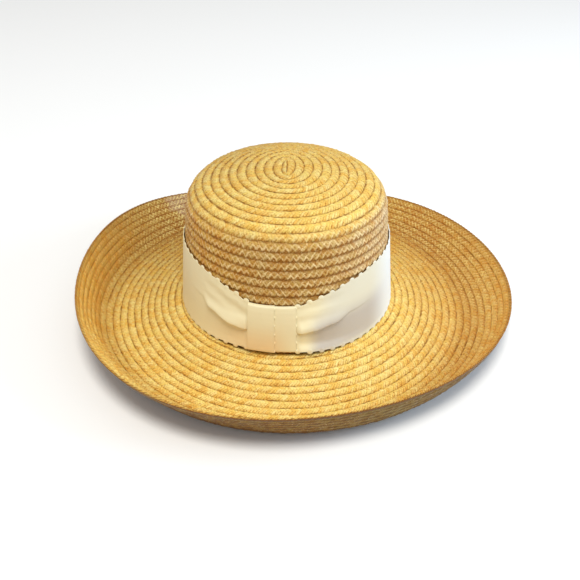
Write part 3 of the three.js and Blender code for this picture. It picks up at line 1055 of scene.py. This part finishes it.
# %% Paths along the edges
def edge_paths(name, paths):
    """Paths as a mesh of loose edges, with the ways out of the edge and out of the cloth on each point."""
    points = np.concatenate([path[0] for path in paths])
    edges, offset = [], 0
    for path in paths:
        edges += [(offset + step, offset + step + 1) for step in range(len(path[0]) - 1)]
        offset += len(path[0])
    mesh = bpy.data.meshes.new(name)
    mesh.from_pydata(points, edges, [])
    for label, column in (("edge_way", 1), ("cloth_way", 2)):
        ways = np.concatenate([path[column] for path in paths])
        mesh.attributes.new(label, "FLOAT_VECTOR", "POINT").data.foreach_set("vector", ways.ravel())
    piece = bpy.data.objects.new(name, mesh)
    bpy.context.scene.collection.objects.link(piece)
    return piece


# %% Edges of the band and of the knot
PATH_STEP = 0.5
KNOT_PATH_POINTS = 30
KNOT_PATH_MARGIN = 1.5 * MM


def path_with_ways(phi, height, lift, beside):
    """The path's points, with the ways towards the points beside it and out of the cloth."""
    here = beside_crown(phi, height, lift)
    cloth_way = beside_crown(phi, height, lift + MM) - here
    return here, (beside_crown(*beside, lift) - here) / MM, cloth_way / MM


def band_edge(row, sign, low_turn, high_turn):
    """A path along the bottom (row 0) or the top edge of the ribbon, clear of the knot."""
    turns = np.arange(low_turn, high_turn, PATH_STEP)
    phi = KNOT_ANGLE + np.radians(turns)
    wrapped = (turns + 180) % 360 - 180
    shape = band_at(wrapped)
    height, depth = band_rows(shape, wrapped)[row]
    lift = RIBBON_LIFT + shape["standoff"] + RIBBON_FACE + depth - RIBBON_CLOTH / 2
    return path_with_ways(phi, height, lift, (phi, height + sign * MM))


def knot_edge(along, lift):
    """A path down the right edge of a layer of the knot."""
    height = np.linspace(KNOT_LOW + KNOT_PATH_MARGIN, KNOT_HIGH - KNOT_PATH_MARGIN, KNOT_PATH_POINTS)
    phi = KNOT_ANGLE + along / LENGTH_PER_RADIAN
    return path_with_ways(phi, height, lift, (phi + MM / LENGTH_PER_RADIAN, height))

# %% [markdown]
# ## Ribbon cloth
#
# The ribbon is a close-woven taffeta: ivory, matt with a soft sheen, and faintly ribbed along its
# length. Its colour carries painted light: a painted warm reflection from the straw on the left, a
# painted cool light from the window on the right, and painted shade on the right and below its fold.


# %% A material for ribbon
# IVORY is the ribbon's own colour. The others are painted light and shade: painted shade on the right and
# below the fold, a painted cool window light on the far right, and a painted warm reflection from the straw
# low on the left.
IVORY = linear(237, 226, 186)
RIGHT_PAINTED_SHADE_IVORY = linear(222, 216, 192)
SHADED_IVORY = linear(192, 184, 172)
WINDOW_PAINTED_LIGHT_IVORY = linear(242, 250, 255)
STRAW_PAINTED_REFLECTION_IVORY = linear(236, 204, 154)
RIGHT_PAINTED_SHADE_SIDE = (10 * MM, 30 * MM)
WINDOW_PAINTED_LIGHT_SIDE = (55 * MM, 85 * MM)
FOLD_ASIDE = (5 * MM, 20 * MM, 60 * MM, 85 * MM)
FOLD_HEIGHT = (17 * MM, 23 * MM, 38 * MM, 56 * MM)
FOLD_BEHIND = (-60 * MM, -30 * MM)
WARM_ASIDE = (-80 * MM, -30 * MM, -20 * MM, 0.0)
WARM_HEIGHT = (24 * MM, 50 * MM)
WARM_BEHIND = (-80 * MM, -60 * MM)
MOTTLE_PER_METRE = 40.0
THREADS_PER_METRE = 900.0
RIB_RADIANS_PER_METRE = 1400.0


def ribbon_material():
    material, bench, surface = new_material("ivory taffeta ribbon")
    place_now = bench.out("ShaderNodeTexCoord", output=3)
    parts = bench.node("ShaderNodeSeparateXYZ", {}, {0: place_now})
    x, y, z = (Num(bench, parts.outputs[axis]) for axis in range(3))
    mottle = bench.noise(MOTTLE_PER_METRE, 3.0, vector=place_now)
    # Where the painted shade below the fold and the painted warm reflection go.
    under_fold = x.bump(*FOLD_ASIDE) * z.bump(*FOLD_HEIGHT) * (1 - y.step(*FOLD_BEHIND))
    painted_straw_reflection = x.bump(*WARM_ASIDE) * (1 - z.step(*WARM_HEIGHT)) * (1 - y.step(*WARM_BEHIND))
    base = bench.mix(x.step(*RIGHT_PAINTED_SHADE_SIDE), IVORY, RIGHT_PAINTED_SHADE_IVORY)
    # Painted shade below the fold.
    base = bench.mix(under_fold, base, SHADED_IVORY)
    base = bench.mix(x.step(*WINDOW_PAINTED_LIGHT_SIDE), base, WINDOW_PAINTED_LIGHT_IVORY)
    base = bench.mix((painted_straw_reflection * 0.8 + (mottle - 0.5) * 0.1).at_least(0.0), base, STRAW_PAINTED_REFLECTION_IVORY)
    ribs = (z * RIB_RADIANS_PER_METRE).sine()
    height = ribs * 0.5 + bench.noise(THREADS_PER_METRE, 2.0, vector=place_now) * 0.5
    bump = bench.out("ShaderNodeBump", {}, {"Strength": 0.25, "Distance": 0.1 * MM, "Height": height})
    feed(
        bench, surface, Base_Color=base, Roughness=0.55, Normal=bump, Sheen_Weight=0.1,
        Specular_IOR_Level=0.35)
    return material


# %% Cover the ribbon
RIBBON = ribbon_material()
print(f"ribbon: {len(RIBBON.node_tree.nodes)} nodes")
for ribbon_piece in (ribbon_band, ribbon_knot):
    ribbon_piece.data.materials.append(RIBBON)

# %% Set the picots
PICOTS = picot_tree()
BAND_PICOT = {
    "Spacing": 9.4 * MM, "Picot Width": 4.6 * MM, "Picot Depth": 2.1 * MM,
    "Picot Thickness": 0.9 * MM, "Material": RIBBON,
}
KNOT_PICOT = {**BAND_PICOT, "Spacing": 6.6 * MM, "Picot Width": 2.6 * MM, "Picot Depth": 0.8 * MM}
PICOT_TURNS = (12.5, 347.5)
PICOT_SINK = 0.5 * MM

band_picots = edge_paths("band_picots", [band_edge(0, -1, *PICOT_TURNS), band_edge(-1, 1, *PICOT_TURNS)])
run_tree(band_picots, PICOTS, BAND_PICOT)
knot_picots = edge_paths("knot_picots", [
    knot_edge(FRONT_LAYER_EDGE, FRONT_LAYER_FACE - PICOT_SINK),
    knot_edge(KNOT_HALF_WIDTH, BACK_LAYER_FACE - PICOT_SINK),
])
run_tree(knot_picots, PICOTS, KNOT_PICOT)
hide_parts("band")
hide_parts("knot")

# %% [markdown]
# ## A plain place to stand, and light
#
# The picture is lit as goods for sale are: one broad warm light overhead and a little in front, a
# weaker cool one low on the right, as from a window, and pale surroundings that fill the shadows.
# The crown's top faces the first light, so it is bright, and its wall is a deeper gold, partly
# from this light and partly from painted shade on the straw.

# %% Floor and lights
FLOOR_SIZE = 6.0
PAPER_COLOUR = (0.9, 0.9, 0.9, 1.0)
bpy.ops.mesh.primitive_plane_add(size=FLOOR_SIZE, location=(0, 0, 0))
floor = bpy.context.object
floor.name = "floor"
paper, paper_bench, paper_surface = new_material("pale paper")
feed(paper_bench, paper_surface, Base_Color=PAPER_COLOUR, Roughness=0.9, Specular_IOR_Level=0.1)
floor.data.materials.append(paper)


def soft_light(name, place_m, target, size, power, colour):
    data = bpy.data.lights.new(name, "AREA")
    data.shape = "DISK"
    data.size = size
    data.energy = power
    data.color = colour
    light = bpy.data.objects.new(name, data)
    bpy.context.scene.collection.objects.link(light)
    light.location = place_m
    way = np.array(target) - np.array(place_m)
    tilt = math.atan2(math.hypot(way[0], way[1]), -way[2])
    light.rotation_euler = (tilt, 0, math.atan2(way[1], way[0]) - math.pi / 2)
    print(f"{name}: {power:.0f} W")


LIGHTS = (
    {
        "name": "overhead", "place_m": (0.05, -1.15, 2.95), "target": (0, 0, 0.05),
        "size": 1.2, "power": 69.0, "colour": (1.0, 0.97, 0.90),
    },
    {
        "name": "window", "place_m": (1.35, -0.1, 0.5), "target": (0, 0, 0.08),
        "size": 0.8, "power": 12.0, "colour": (0.58, 0.78, 1.0),
    },
)
for lamp in LIGHTS:
    soft_light(**lamp)

ROOM_COLOUR = (0.98, 0.99, 1.0, 1.0)
ROOM_STRENGTH = 0.54
world = bpy.data.worlds.new("pale room")
world.use_nodes = True
room = world.node_tree.nodes["Background"]
room.inputs["Color"].default_value = ROOM_COLOUR
room.inputs["Strength"].default_value = ROOM_STRENGTH
bpy.context.scene.world = world
bpy.context.scene.view_settings.view_transform = "Standard"

# %% Hand over to the frame
for piece, finish in (
    (straw_crown, "straw"), (straw_brim, "straw"), (straw_rise, "straw"),
    (ribbon_band, "ribbon"), (ribbon_knot, "ribbon"),
    (band_picots, "ribbon"), (knot_picots, "ribbon"),
):
    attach(piece, "root")
